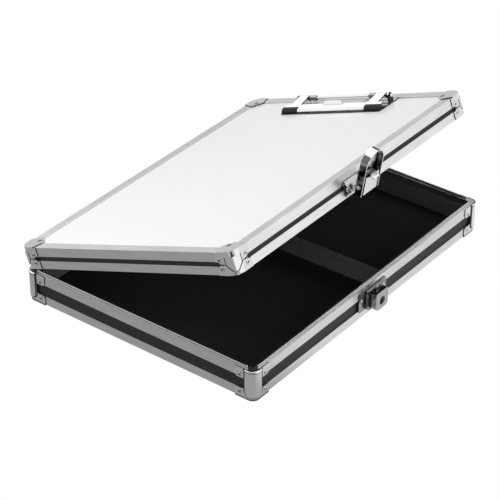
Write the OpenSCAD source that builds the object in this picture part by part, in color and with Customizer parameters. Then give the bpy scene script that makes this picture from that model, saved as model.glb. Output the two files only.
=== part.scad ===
// Storage clipboard box: a riveted, trim-edged panel box whose hinged lid is a dry-erase
// writing board with a paper clip at one end and a flip-over hasp that a key lock holds.
// Millimetres, +Z up. The origin is the middle of the box where it stands on the table.
// +X is the lock side, -X the hinge side, +Y the short end that carries the paper clip.

/* [Case] */
// Width over the side trims, hinge side to lock side
case_w = 273; // [240:1:330]
// Length over the end trims
case_l = 368; // [320:1:460]
// Height of the base, table to rim
base_h = 33; // [32:0.5:60]
// Height of the lid, lower rim to top trim
lid_h = 22; // [21:0.5:40]
// How far the lid stands open
lid_angle = 20.5; // [0:0.5:100]
// Gap between the two rims when the lid is shut
lid_gap = 0.3; // [0.2:0.1:0.8]

/* [Panels] */
// Thickness of the wall panels
panel_t = 3; // [2:0.25:3.5]
// Thickness of the floor panel
floor_t = 3; // [2:0.25:5]
// Thickness of the writing board
board_t = 3; // [2:0.25:5]
// Thickness of the base linings
lining_t = 1.5; // [1:0.25:2.5]
// Thickness of the lining under the board
lid_lining_t = 2; // [1:0.25:4]

/* [Trims] */
// Wall thickness of the aluminium trims
trim_t = 1.2; // [0.8:0.1:1.5]
// Side height of the bottom trims
foot_trim_h = 9.3; // [8:0.1:11]
// Width of the bottom trims under the floor
foot_trim_w = 9.5; // [7:0.5:14]
// Side height of the base rim
rim_h = 10.3; // [9:0.1:12]
// Inner height of the base rim
rim_in_h = 6; // [4:0.1:9]
// Side height of the lid's lower rim
lid_rim_h = 8.3; // [8:0.1:10]
// Inner height of the lid's lower rim
lid_rim_in_h = 6; // [5:0.1:9]
// Side height of the lid's top trims
top_trim_h = 9.2; // [8.5:0.1:10]
// Width of the top trims over the board
top_trim_w = 10.5; // [8:0.5:14]
// Height of the tongue on the base rim
tongue_h = 2; // [1:0.1:2.4]
// Thickness of the tongue
tongue_t = 1.2; // [0.8:0.1:1.4]
// Distance of the tongue from the outside
tongue_in = 2.4; // [2.2:0.1:2.6]

/* [Corner caps] */
// Thickness of the pressed caps
cap_t = 0.8; // [0.5:0.1:1]
// Reach of a cap along each side
cap_reach = 21; // [19:0.5:25]
// Radius of the base's upright corners
corner_r = 6; // [4:0.5:8]
// Reach of the pressed corner column along each side
boss_reach = 11; // [10:0.5:12]
// Reach of the lid caps' facets along a side
facet_reach = 9; // [8:0.5:11]
// Height of the base column over the cap
boss_lift = 0.9; // [0.3:0.1:0.9]
// Radius of the bead round the base corner's top
bead_r = 1.3; // [0.8:0.1:1.5]
// How far the lid column's ridge lies inside the corner
ridge_in = 1.9; // [1:0.1:2.5]

/* [Rivets] */
// Radius of the pop rivet heads
rivet_r = 2; // [1.6:0.1:2.1]
// Height of the rivet heads
rivet_h = 0.7; // [0.5:0.1:0.9]
// Radius of the rivet shanks
shank_r = 1.2; // [0.9:0.1:1.3]

/* [Hinge] */
// Clear length between a corner cap and the end of the piano hinge
hinge_inset = 5; // [3:0.5:30]
// Number of knuckles, an odd number
knuckles = 13; // [7:2:21]
// Outer radius of the knuckles
knuckle_r = 2.2; // [1.9:0.1:2.2]
// Radius of the hinge wire
hinge_pin_r = 0.9; // [0.7:0.05:1.1]
// Thickness of the leaves
leaf_t = 0.8; // [0.6:0.1:1]
// Distance of the wire's axis from the side
hinge_out = 2.5; // [2.5:0.1:2.7]
// Height of a leaf from the wire's axis
leaf_h = 8.1; // [7.5:0.1:8.3]
// Rivets in each leaf
leaf_rivets = 6; // [4:1:10]

/* [Hasp] */
// Width of the hasp
hasp_w = 28; // [27:0.5:32]
// Depth of the hasp's trough
hasp_d = 7.3; // [6.8:0.1:7.6]
// Length from the pin to the tip
hasp_reach = 36.6; // [34.5:0.1:38]
// Length behind the pin
hasp_heel = 9.6; // [7:0.1:9.8]
// Sheet thickness of the hasp
hasp_t = 1; // [0.8:0.1:1.2]
// Distance of the hasp pin from the side
hasp_out = 11.8; // [11.7:0.1:12.4]
// Height of the hasp pin over the lid's lower rim
hasp_up = 7.3; // [7:0.1:8.5]
// Lean of the flipped-up hasp from upright
hasp_lean = 9; // [0:1:30]
// Radius of the hasp pin
hasp_pin_r = 1.4; // [1:0.1:1.5]
// Width of the latch's two mount plates
plate_w = 45; // [42:0.5:50]
// Thickness of the latch's two mount plates
plate_t = 1; // [0.8:0.1:1]
// Height of the hasp's mount plate
plate_h = 15; // [14:0.5:17]

/* [Lock] */
// Width of the lock's head
lock_w = 19.5; // [18:0.5:21]
// Height of the lock's head
lock_h = 19.8; // [18:0.1:19.9]
// Front of the lock's head from the side
lock_out = 12.2; // [12:0.1:12.6]
// Height of the key axis over the table
key_z = 16.5; // [15:0.1:16.6]
// Radius of the key cylinder
cylinder_r = 4.3; // [3.6:0.1:4.6]
// Radius of the crank pin's circle
crank_r = 2.2; // [1.8:0.1:2.2]

/* [Paper clip] */
// Width of the clip's base plate
clip_w = 131; // [110:1:160]
// Depth of the clip's base plate
clip_d = 34; // [32:0.5:37]
// Distance of the clip rod from the end of the lid
rod_inset = 17; // [16.5:0.5:22]
// Height of the clip rod over the board
rod_up = 6.5; // [6.3:0.1:8]
// Radius of the clip rod
rod_r = 1.6; // [1.2:0.1:1.7]
// Sheet thickness of the clip
clip_t = 1.1; // [0.8:0.1:1.2]
// Width of the finger tab
tab_w = 29; // [20:0.5:40]

/* [Strap] */
// Width of the elastic strap
strap_w = 28.5; // [22:0.5:40]
// Thickness of the strap
strap_t = 1.4; // [1:0.1:2]
// Height of the strap over the floor lining
strap_up = 15; // [12:0.5:17]
// Place of the strap along the box
strap_y = 20; // [-60:1:60]

/* [Hidden] */

$fn = 48;
eps = 0.01;       // overshoot of cutting tools
fit_gap = 0.05;   // running clearance round pins
slot_gap = 0.1;   // clearance of shanks in bores and of the bolt in its channel
seat_gap = 0.2;   // room between trims and the pressed caps at the corners
move_gap = 0.3;   // room between pieces that pass each other

half_w = case_w / 2;
half_l = case_l / 2;
wall_in = trim_t + panel_t;           // inner face of the panels, from the outside
leg_in = wall_in + seat_gap;          // inner legs of the rims, from the outside
rim_in = leg_in + trim_t;             // inner face of the rims
floor_z = cap_t + trim_t;             // underside of the floor panel
floor_top = floor_z + floor_t;
lining_top = floor_top + lining_t;
lid_z = base_h + lid_gap;             // underside of the shut lid's rim
lid_top = lid_z + lid_h;
board_z = lid_top - trim_t;           // writing surface
board_low = board_z - board_t;
groove_h = tongue_h + 0.4;            // groove of the lid rim over the tongue
web_top = lid_z + groove_h + trim_t;  // top of the lid rim's web
bore_r = shank_r + slot_gap;
mitre_d = 2 * max(foot_trim_w, top_trim_w, rim_in);  // depth of the cutter of the mitres

cap_rivet = cap_reach - 5;            // rivets of the caps, from the corner
lid_rivet_low = cap_reach - 5.2;
rim_rivet_z = base_h - rim_h + rivet_r + 0.5;
foot_rivet_z = cap_t + foot_trim_h / 2 + 1;
lid_rivet_z1 = lid_z + lid_rim_h - rivet_r - 0.1;
lid_rivet_z2 = lid_top - top_trim_h + rivet_r + 0.2;
cup_r = rivet_r + 1;                  // dimple that sinks a rivet under the cap's face
foot_cup = foot_trim_w + cup_r + 0.3;
top_cup = top_trim_w + cup_r + 0.3;

// The lid column has two facets that meet at a ridge; this is the normal of one of them
facet_l = sqrt(pow(facet_reach - ridge_in, 2) + pow(ridge_in + cap_t, 2));
facet_nx = (ridge_in + cap_t) / facet_l;
facet_ny = (facet_reach - ridge_in) / facet_l;
corner_cut = 7.6;                     // chamfer of the lid's panels behind the caps
notch_cut = facet_reach + 3;          // chamfer of the board and its trims behind the notches

hinge_l = case_l - 2 * (cap_reach + hinge_inset);
hinge_x = -half_w - hinge_out;
hinge_z = base_h + lid_gap / 2;
knuckle_l = hinge_l / knuckles;
leaf_rivet = 5.2;                     // rivets of the leaves, from the wire's axis
leaf_notch = hinge_out + slot_gap;

plate_front = half_w + plate_t;
plate_rivet = plate_w / 2 - 4.5;
lock_rivet_z = key_z + 3.7;
hasp_x = half_w + hasp_out;
hasp_z = lid_z + hasp_up;
hasp_rivet_z = lid_z + lid_rim_h - bore_r - seat_gap;
hasp_back = hasp_d / 2;               // back of the trough behind the pin
hasp_turn = lid_angle + hasp_lean;
hasp_in = hasp_w / 2 - hasp_t;
ear_r = hasp_back - hasp_t - move_gap;
ear_out = hasp_in - 0.5;
ear_in = ear_out - 1.8;
head_top = key_z - 8.7 + lock_h;
strike_r = hasp_z - head_top - move_gap;
strike_t = 1.2;
strike_w = 9;
strike_ends = 8;                      // how far the strike reaches past the pin

tier_front = plate_front + 3.5;
head_front = half_w + lock_out;
head_back = head_front - 5.1;
bolt_back = tier_front + 0.6;
bolt_t = 1.6;
bolt_w = 9;
nose_w = 5.6;
bolt_low = key_z - 2.5;
shoulder_z = key_z + 7.5;
bolt_top = lid_z - 2.1;
crank_pin_r = 0.9;
crank_z = key_z + crank_r * sin(45);  // crank pin at rest, key turned upright

rod_y = half_l - rod_inset;
rod_z = board_z + rod_up;
ear_x = clip_w / 2 - 5.5;             // middle of the clip's ears
knuckle_clip_r = rod_r + 1.3;
arm_out = ear_x - 3;
arm_in = arm_out - 12.5;
jaw_half = clip_w / 2 - 2;
grip_in = jaw_half - 19;
jaw_lip = -rod_up + clip_t + move_gap + clip_t / 2;
// The jaw's sheet from the rod forward and down, as points on its middle line
jaw_line = [[0, knuckle_clip_r - clip_t / 2], [-18.6, -1.3], [-23.2, -2.6], [-25.2, jaw_lip]];
tab_rise = [2.4, 3.8];                // how far the finger tab goes back and up

strap_z = lining_top + strap_up;
strap_half = half_w - wall_in - lining_t;
strap_tab_z = strap_z - 11;
strap_rivet_z = strap_z - 6;

alu = [0.78, 0.79, 0.80];
chrome = [0.86, 0.87, 0.88];
black = [0.13, 0.13, 0.14];

// ---- helpers ---------------------------------------------------------------------------

// A centred rectangle with true round corners
module round_rect(w, h, r) {
    square([w - 2 * r, h], center = true);
    square([w, h - 2 * r], center = true);
    for (sx = [-1, 1], sy = [-1, 1])
        translate([sx * (w / 2 - r), sy * (h / 2 - r)]) circle(r);
}

// A bent sheet in section: straight runs with round bends along a line of points
module bent_sheet(line, t) {
    for (i = [0 : len(line) - 2]) {
        run = line[i + 1] - line[i];
        translate(line[i]) rotate(atan2(run[1], run[0]))
            translate([0, -t / 2]) square([norm(run), t]);
    }
    for (p = line) translate(p) circle(t / 2);
}

// Carries a piece drawn for the lock side (+X) to the side named
module on_side(side) {
    turn = side == "lock" ? 0 : side == "far" ? 90 : side == "hinge" ? 180 : 270;
    rotate([0, 0, turn]) children();
}

function is_long(side) = side == "lock" || side == "hinge";
function run_of(side) = is_long(side) ? case_l : case_w;
function out_of(side) = is_long(side) ? half_w : half_l;

// A trim along one side, mitred at both ends; its section has x = depth and y = height
module trim(side) {
    on_side(side) intersection() {
        translate([out_of(side), 0, 0]) rotate([90, 0, 0])
            linear_extrude(run_of(side), center = true) mirror([1, 0]) children();
        translate([out_of(side), 0, 0]) linear_extrude(2 * lid_top)
            polygon([[1, -run_of(side) / 2 - 1], [1, run_of(side) / 2 + 1],
                [-mitre_d, run_of(side) / 2 - mitre_d], [-mitre_d, mitre_d - run_of(side) / 2]]);
    }
}

// A flat panel standing along one side between the heights z0 and z1
module wall_panel(side, z0, z1) {
    run = run_of(side) - 2 * (is_long(side) ? trim_t : wall_in);
    on_side(side) translate([out_of(side) - wall_in, -run / 2, z0])
        cube([panel_t, run, z1 - z0]);
}

// A corner drawn at the origin with the case towards +X and +Y, carried to one of the four
module at_corner(sx, sy) {
    translate([sx * half_w, sy * half_l, 0]) mirror([sx > 0 ? 1 : 0, 0, 0])
        mirror([0, sy > 0 ? 1 : 0, 0]) children();
}

module at_corners() {
    for (sx = [-1, 1], sy = [-1, 1]) at_corner(sx, sy) children();
}

// What is drawn on a corner's -Y face, on both of its faces
module both_faces() {
    children();
    mirror([1, -1, 0]) children();
}

// A flat shape (along the face, height) cut through a corner's -Y face
module through_face() {
    translate([0, 3, 0]) rotate([90, 0, 0]) linear_extrude(8) children();
}

// A pop rivet whose head stands on z = 0 and whose shank goes down by its grip
module rivet(grip) {
    ball_r = (rivet_r * rivet_r + rivet_h * rivet_h) / (2 * rivet_h);
    intersection() {
        cylinder(r = rivet_r, h = rivet_h + eps);
        translate([0, 0, rivet_h - ball_r]) sphere(r = ball_r);
    }
    translate([0, 0, -grip]) cylinder(r = shank_r, h = grip + eps);
}

module bore(grip) {
    translate([0, 0, -grip - eps]) cylinder(r = bore_r, h = grip + rivet_h);
}

// Places of rivets and bores; each one points out of the case
module at_base_cap_rivets() {
    at_corners() both_faces() for (z = [foot_rivet_z, rim_rivet_z])
        translate([cap_rivet, -cap_t, z]) rotate([90, 0, 0]) children();
}

module at_lid_cap_rivets() {
    at_corners() both_faces() {
        translate([lid_rivet_low, -cap_t, lid_rivet_z1]) rotate([90, 0, 0]) children();
        translate([cap_rivet, -cap_t, lid_rivet_z2]) rotate([90, 0, 0]) children();
    }
}

module at_foot_cups() {
    at_corners() translate([foot_cup, foot_cup, trim_t]) rotate([180, 0, 0]) children();
}

module at_top_cups() {
    at_corners() translate([top_cup, top_cup, board_z + cap_t]) children();
}

module at_leaf_rivets(z) {
    step = (hinge_l - knuckle_l) / (leaf_rivets - 1);
    for (i = [0 : leaf_rivets - 1])
        translate([-half_w - leaf_t, (knuckle_l - hinge_l) / 2 + i * step, z])
            rotate([0, -90, 0]) children();
}

module at_plate_rivets(heights) {
    for (z = heights, s = [-1, 1])
        translate([plate_front, s * plate_rivet, z]) rotate([0, 90, 0]) children();
}

module at_strap_rivets() {
    for (sx = [-1, 1], s = [-1, 1])
        translate([sx * (strap_half - strap_t), strap_y + s * strap_w / 4, strap_rivet_z])
            rotate([0, -sx * 90, 0]) children();
}

cap_grip = cap_t + trim_t + panel_t;
leaf_grip = leaf_t + trim_t + panel_t;
plate_grip = plate_t + trim_t + panel_t;
strap_grip = strap_t + lining_t + panel_t - 0.6;  // ends inside the panel

module base_bores() {
    at_base_cap_rivets() bore(cap_grip);
    at_foot_cups() bore(cap_t + floor_t);
    at_leaf_rivets(hinge_z - leaf_rivet) bore(leaf_grip);
    at_plate_rivets([lock_rivet_z]) bore(plate_grip);
    at_strap_rivets() bore(strap_grip);
}

module lid_bores() {
    at_lid_cap_rivets() bore(cap_grip);
    at_top_cups() bore(cap_t + board_t);
    at_leaf_rivets(hinge_z + leaf_rivet) bore(leaf_grip);
    at_plate_rivets([hasp_rivet_z]) bore(plate_grip);
    at_clip_rivets() bore(clip_t + board_t);
}

// ---- base: panels and trims --------------------------------------------------------------

// Everything under the base caps keeps inside their rounded corners
module base_plan() {
    round_rect(case_w, case_l, corner_r + 0.5);
}

module in_base() {
    difference() {
        intersection() {
            children();
            linear_extrude(base_h + eps) base_plan();
        }
        base_bores();
    }
}

module floor_panel() {
    color(black) in_base() translate([trim_t - half_w, trim_t - half_l, floor_z])
        cube([case_w - 2 * trim_t, case_l - 2 * trim_t, floor_t]);
}

module base_wall(side) {
    color(black) in_base() wall_panel(side, floor_top, base_h - trim_t);
}

module foot_trim(side) {
    color(alu) in_base() trim(side)
        polygon([[0, cap_t], [foot_trim_w, cap_t], [foot_trim_w, floor_z], [trim_t, floor_z],
            [trim_t, cap_t + foot_trim_h], [0, cap_t + foot_trim_h]]);
}

// The rim hooks over the panel's edge and carries the tongue that the lid closes on
module base_rim(side) {
    tongue_l = run_of(side) - 2 * (facet_reach + 1);
    color(alu) {
        in_base() trim(side) translate([0, base_h])
            polygon([[0, 0], [0, -rim_h], [trim_t, -rim_h], [trim_t, -trim_t],
                [leg_in, -trim_t], [leg_in, -rim_in_h], [rim_in, -rim_in_h], [rim_in, 0]]);
        on_side(side) translate([out_of(side) - tongue_in - tongue_t, -tongue_l / 2, base_h])
            cube([tongue_t, tongue_l, tongue_h]);
    }
}

module floor_lining() {
    color(black) translate([wall_in - half_w, wall_in - half_l, floor_top])
        cube([case_w - 2 * wall_in, case_l - 2 * wall_in, lining_t]);
}

module wall_lining() {
    top = base_h - rim_in_h - seat_gap;
    color(black) difference() {
        for (side = ["lock", "hinge", "near", "far"]) {
            run = run_of(side) - 2 * wall_in - (is_long(side) ? 0 : 2 * (lining_t + seat_gap));
            on_side(side) translate([out_of(side) - wall_in - lining_t, -run / 2, lining_top])
                cube([lining_t, run, top - lining_top]);
        }
        at_strap_rivets() bore(strap_grip);
    }
}

// ---- base: corner caps -------------------------------------------------------------------

// Plan of a rounded corner, filled, with its outside moved out by g
module corner_fill(g, reach) {
    translate([-g, corner_r]) square([reach + g, reach - corner_r]);
    translate([corner_r, -g]) square([reach - corner_r, reach + g]);
    translate([corner_r, corner_r]) circle(corner_r + g);
}

module corner_sheet(g, reach) {
    difference() {
        corner_fill(g, reach);
        corner_fill(0, reach + 1);
    }
}

// Plan of a cap's flat plate round its cup at m
module plate_plan(m) {
    polygon([[-cap_t, -cap_t], [m + 3.2, -cap_t], [m + 6.7, m - 4.8], [m + 6.7, m - 1.8],
        [m - 1.8, m + 6.7], [m - 4.8, m + 6.7], [-cap_t, m + 3.2]]);
}

// The rolled bead along the top of the corner, flat where it lies against the rim
module corner_bead() {
    run = boss_reach - corner_r - 2;
    intersection() {
        linear_extrude(base_h) corner_sheet(cap_t + bead_r, cap_reach);
        translate([0, 0, base_h - bead_r]) {
            translate([corner_r, corner_r]) rotate([0, 0, 180]) rotate_extrude(angle = 90)
                translate([corner_r + cap_t, 0]) circle(bead_r);
            both_faces() translate([corner_r, -cap_t, 0]) {
                rotate([0, 90, 0]) cylinder(r = bead_r, h = run);
                translate([run, 0, 0]) sphere(r = bead_r);
            }
        }
    }
}

// The pressed column: a tongue shape seen along the corner's diagonal
module corner_column() {
    low = 4;
    low_r = 5;
    intersection() {
        linear_extrude(base_h - 2 * bead_r) corner_sheet(cap_t + boss_lift, cap_reach);
        translate([corner_r, corner_r, 0]) rotate([0, 0, -45]) rotate([90, 0, 0])
            linear_extrude(3 * corner_r) translate([0, low + base_h / 2])
                round_rect(sqrt(2) * boss_reach, base_h, low_r);
    }
}

module base_cap(sx, sy) {
    side_low = foot_trim_h + 1.2;
    side_high = base_h - rim_h - 0.7;
    color(chrome) at_corner(sx, sy) difference() {
        union() {
            linear_extrude(base_h) corner_sheet(cap_t, cap_reach);
            linear_extrude(cap_t) intersection() {
                plate_plan(foot_cup);
                corner_fill(cap_t, 2 * cap_reach);
            }
            translate([foot_cup, foot_cup, 0]) cylinder(r = cup_r, h = floor_z);
            corner_column();
            corner_bead();
        }
        translate([foot_cup, foot_cup, -eps]) {
            cylinder(r = cup_r - cap_t, h = trim_t + eps);
            cylinder(r = bore_r, h = floor_z + 2 * eps);
        }
        // the open side between the two flaps
        both_faces() translate([0, -2, 0]) through_face()
            polygon([[boss_reach, side_low + 1.7], [boss_reach, side_high],
                [cap_reach - 2, side_high], [cap_reach + 1, side_high + 3],
                [cap_reach + 1, side_low - 3], [cap_reach - 2, side_low],
                [boss_reach + 1.7, side_low]]);
        both_faces() for (z = [foot_rivet_z, rim_rivet_z])
            translate([cap_rivet, -cap_t, z]) rotate([90, 0, 0]) bore(cap_grip);
    }
}

module base_rivets() {
    color(chrome) {
        at_base_cap_rivets() rivet(cap_grip);
        at_foot_cups() rivet(cap_t + floor_t);
        at_leaf_rivets(hinge_z - leaf_rivet) rivet(leaf_grip);
        at_plate_rivets([lock_rivet_z]) rivet(plate_grip);
    }
}

// ---- elastic strap -----------------------------------------------------------------------

module elastic_strap() {
    color(black) difference() {
        translate([-strap_half, strap_y - strap_w / 2, 0]) {
            translate([0, 0, strap_z]) cube([2 * strap_half, strap_w, strap_t]);
            for (x = [0, 2 * strap_half - strap_t])
                translate([x, 0, strap_tab_z])
                    cube([strap_t, strap_w, strap_z + strap_t - strap_tab_z]);
        }
        at_strap_rivets() bore(strap_grip);
    }
}

module strap_rivets() {
    color(chrome) at_strap_rivets() rivet(strap_grip);
}

// ---- piano hinge -------------------------------------------------------------------------

// One leaf, drawn to rise from the wire's axis; own = 0 has the first knuckle, 1 the second
module hinge_leaf(own) {
    difference() {
        union() {
            translate([hinge_out - leaf_t, -hinge_l / 2, lid_gap / 2])
                cube([leaf_t, hinge_l, leaf_h - lid_gap / 2]);
            for (i = [own : 2 : knuckles - 1])
                translate([0, -hinge_l / 2 + i * knuckle_l + move_gap / 2, 0])
                    rotate([-90, 0, 0]) cylinder(r = knuckle_r, h = knuckle_l - move_gap);
        }
        for (i = [1 - own : 2 : knuckles - 1])
            translate([0, -hinge_l / 2 + i * knuckle_l - move_gap / 2, 0])
                rotate([-90, 0, 0]) cylinder(r = leaf_notch, h = knuckle_l + move_gap);
        rotate([90, 0, 0]) cylinder(r = hinge_pin_r + fit_gap, h = hinge_l + 2, center = true);
        translate([-hinge_x, 0, 0]) at_leaf_rivets(leaf_rivet) bore(leaf_grip);
    }
}

module base_leaf() {
    color(alu) translate([hinge_x, 0, hinge_z]) mirror([0, 0, 1]) hinge_leaf(0);
}

module lid_leaf() {
    color(alu) on_lid() translate([hinge_x, 0, hinge_z]) hinge_leaf(1);
}

module hinge_pin() {
    color(chrome) translate([hinge_x, 0, hinge_z]) rotate([90, 0, 0])
        cylinder(r = hinge_pin_r, h = hinge_l, center = true);
}

// ---- lock --------------------------------------------------------------------------------

// A plate for the latch, flat on the +X side, between the heights z0 and z1
module latch_plate(z0, z1, r) {
    translate([half_w, 0, (z0 + z1) / 2]) rotate([90, 0, 90]) linear_extrude(plate_t)
        round_rect(plate_w, z1 - z0, r);
}

module lock_plate() {
    color(chrome) difference() {
        latch_plate(key_z - 8.5, base_h - 4.5, 3);
        at_plate_rivets([lock_rivet_z]) bore(plate_grip);
    }
}

// A block of the lock: width, height range and depth range
module lock_block(w, z0, z1, x0, x1, r) {
    translate([x0, 0, (z0 + z1) / 2]) rotate([90, 0, 90]) linear_extrude(x1 - x0)
        round_rect(w, z1 - z0, r);
}

module lock_body() {
    head_low = head_top - lock_h;
    low_r = 4.5;
    color(chrome) difference() {
        union() {
            lock_block(lock_w + 5.5, head_low - 0.3, head_top + 0.4, plate_front, tier_front, 2.5);
            lock_block(lock_w - 2.3, head_low + 0.7, head_top - 0.6, tier_front - eps,
                head_back + eps, 2);
            // the head: broad round corners below, tight ones above
            translate([head_back, 0, 0]) rotate([90, 0, 90])
                linear_extrude(head_front - head_back) {
                    translate([0, (head_low + head_top) / 2]) round_rect(lock_w, lock_h, low_r);
                    translate([0, head_top - 4]) round_rect(lock_w, 8, 2);
                }
        }
        // channel of the bolt, with a narrower mouth for its nose
        translate([bolt_back - slot_gap, -bolt_w / 2 - move_gap, bolt_low - 3.5])
            cube([bolt_t + 2 * slot_gap, bolt_w + 2 * move_gap, shoulder_z - bolt_low + 3.8]);
        translate([bolt_back - slot_gap, -nose_w / 2 - move_gap, shoulder_z])
            cube([bolt_t + 2 * slot_gap, nose_w + 2 * move_gap, 10]);
        // bore of the key cylinder, from the channel to the front
        translate([bolt_back + bolt_t, 0, key_z]) rotate([0, 90, 0])
            cylinder(r = cylinder_r + fit_gap, h = 20);
    }
}

// The cylinder's front lies a little behind the head; its crank pin drives the bolt
module lock_cylinder() {
    back = bolt_back + bolt_t + slot_gap;
    front = head_front - 0.3;
    color(alu) translate([0, 0, key_z]) {
        difference() {
            translate([back, 0, 0]) rotate([0, 90, 0]) cylinder(r = cylinder_r, h = front - back);
            translate([front - 3.2, 0, 0]) rotate([90, 0, 90]) linear_extrude(4) {
                square([1.4, 6.4], center = true);
                circle(1.5);
            }
        }
        translate([bolt_back + 0.2, crank_r * cos(45), crank_r * sin(45)]) rotate([0, 90, 0])
            cylinder(r = crank_pin_r, h = back - bolt_back);
    }
}

// The bolt rides on the crank pin in a level slot; its bevelled nose stands out of the lock
module lock_bolt() {
    color(alu) translate([bolt_back, 0, 0]) difference() {
        rotate([90, 0, 90]) linear_extrude(bolt_t) {
            translate([-bolt_w / 2, bolt_low]) square([bolt_w, shoulder_z - move_gap - bolt_low]);
            translate([-nose_w / 2, bolt_low]) square([nose_w, bolt_top - bolt_low - nose_w / 2]);
            translate([0, bolt_top - nose_w / 2]) circle(nose_w / 2);
        }
        translate([-eps, 0, crank_z]) rotate([90, 0, 90]) linear_extrude(bolt_t + 2 * eps)
            round_rect(2 * (crank_r + crank_pin_r + 0.4), 2 * (crank_pin_r + 0.12), 1);
        translate([bolt_t, 0, bolt_top]) rotate([0, 35, 0])
            cube([4, nose_w + 1, 1.4], center = true);
    }
}

// ---- lid: panels and trims ---------------------------------------------------------------

// Carries what is drawn for the shut lid to where the lid stands
module on_lid() {
    translate([hinge_x, 0, hinge_z]) rotate([0, -lid_angle, 0])
        translate([-hinge_x, 0, -hinge_z]) children();
}

// Where a facet sunk by its depth meets the line y, and where it meets the diagonal
function facet_x(depth, y) = facet_reach + (depth - facet_ny * (cap_t + y)) / facet_nx;
function facet_ridge(depth) = ridge_in + depth / (facet_nx + facet_ny);

// Plan of the lid under its caps: the corners follow the facets and are chamfered
module lid_plan() {
    start = facet_x(cap_t + seat_gap, 0);
    p = (facet_ny * corner_cut - facet_nx * start) / (facet_ny - facet_nx);
    q = corner_cut - p;
    difference() {
        square([case_w, case_l], center = true);
        at_corners() polygon([[-1, -1], [start, -1], [start, 0], [p, q], [q, p], [0, start],
            [-1, start]]);
    }
}

module in_lid(cut = 0) {
    on_lid() difference() {
        intersection() {
            children();
            translate([0, 0, lid_z - 1]) linear_extrude(lid_h + 2) lid_plan();
        }
        if (cut > 0)
            translate([0, 0, lid_z]) linear_extrude(lid_h + 1)
                at_corners() polygon([[-1, -1], [cut + 1, -1], [-1, cut + 1]]);
        lid_bores();
    }
}

module writing_board() {
    color("white") in_lid(notch_cut) translate([trim_t - half_w, trim_t - half_l, board_low])
        cube([case_w - 2 * trim_t, case_l - 2 * trim_t, board_t]);
}

module lid_wall(side) {
    color(black) in_lid() wall_panel(side, web_top, board_low);
}

module top_trim(side) {
    color(alu) in_lid(notch_cut) trim(side) translate([0, lid_top])
        polygon([[0, 0], [0, -top_trim_h], [trim_t, -top_trim_h], [trim_t, -trim_t],
            [top_trim_w, -trim_t], [top_trim_w, 0]]);
}

// The lid's rim: a groove below for the tongue, a channel above for the panel
module lid_rim(side) {
    lip = tongue_in - move_gap;
    web = groove_h + trim_t;
    color(alu) in_lid() trim(side) translate([0, lid_z])
        polygon([[0, 0], [lip, 0], [lip, groove_h], [leg_in, groove_h], [leg_in, 0], [rim_in, 0],
            [rim_in, lid_rim_in_h], [leg_in, lid_rim_in_h], [leg_in, web], [trim_t, web],
            [trim_t, lid_rim_h], [0, lid_rim_h]]);
}

module lid_lining() {
    color(black) on_lid() translate([leg_in - half_w, leg_in - half_l, board_low - lid_lining_t])
        cube([case_w - 2 * leg_in, case_l - 2 * leg_in, lid_lining_t]);
}

// ---- lid: corner caps --------------------------------------------------------------------

// Plan of a faceted corner, filled, with its outside g out of the case
module facet_fill(g) {
    start = facet_x(cap_t - g, -g);
    ridge = facet_ridge(cap_t - g);
    far = 2 * cap_reach;
    polygon([[far, -g], [start, -g], [ridge, ridge], [-g, start], [-g, far], [far, far]]);
}

// Lines pressed round the column: upright edges, slanted edges and its lower end
module column_lines(w) {
    waist_z = lid_z + lid_rim_h + 1.6;
    low_z = lid_z + 3.6;
    low_x = facet_reach / 2;
    through_face() {
        bent_sheet([[facet_reach + w / 2, lid_top - 5], [facet_reach + w / 2, waist_z],
            [low_x, low_z], [0, low_z]], w);
        bent_sheet([[facet_reach, waist_z + 0.5], [cap_rivet, waist_z + 0.5]], w);
    }
}

module lid_cap(sx, sy) {
    line_w = 1;
    line_d = 0.6;
    low = lid_z + lid_rim_h;
    high = lid_top - top_trim_h;
    notch = 5.6;
    color(chrome) on_lid() at_corner(sx, sy) difference() {
        union() {
            translate([0, 0, lid_z]) linear_extrude(lid_h) intersection() {
                difference() {
                    facet_fill(cap_t);
                    facet_fill(0);
                }
                translate([-cap_t, -cap_t]) square(cap_reach + cap_t);
            }
            translate([0, 0, lid_top]) linear_extrude(cap_t) intersection() {
                plate_plan(top_cup);
                facet_fill(cap_t);
            }
            translate([top_cup, top_cup, board_z]) cylinder(r = cup_r, h = trim_t + cap_t);
        }
        translate([top_cup, top_cup, board_z - eps]) {
            translate([0, 0, cap_t + eps]) cylinder(r = cup_r - cap_t, h = trim_t + eps);
            cylinder(r = bore_r, h = trim_t);
        }
        // notches at the corner above and below the column
        translate([0, 0, lid_top - 4.8]) linear_extrude(10)
            polygon([[-2, -2], [notch + 2, -2], [-2, notch + 2]]);
        translate([0, 0, lid_z + 0.8]) linear_extrude(2.6) rotate(-45)
            square([4.8, 10], center = true);
        // the open side between the two flaps
        both_faces() through_face()
            polygon([[cap_rivet - 3, low + 1.4], [cap_rivet - 3, low + 2.8],
                [cap_rivet, low + 2.8], [cap_rivet + 2, high + 0.2], [cap_reach + 1, high + 0.2],
                [cap_reach + 1, low - 0.2], [cap_rivet + 2.6, low - 0.2],
                [cap_rivet + 1, low + 1.4]]);
        intersection() {
            translate([0, 0, lid_z]) linear_extrude(lid_h) difference() {
                facet_fill(cap_t + 1);
                facet_fill(cap_t - line_d);
            }
            both_faces() column_lines(line_w);
        }
        both_faces() {
            translate([lid_rivet_low, -cap_t, lid_rivet_z1]) rotate([90, 0, 0]) bore(cap_grip);
            translate([cap_rivet, -cap_t, lid_rivet_z2]) rotate([90, 0, 0]) bore(cap_grip);
        }
    }
}

module lid_rivets() {
    color(chrome) on_lid() {
        at_lid_cap_rivets() rivet(cap_grip);
        at_top_cups() rivet(cap_t + board_t);
        at_leaf_rivets(hinge_z + leaf_rivet) rivet(leaf_grip);
        at_plate_rivets([hasp_rivet_z]) rivet(plate_grip);
    }
}

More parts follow.
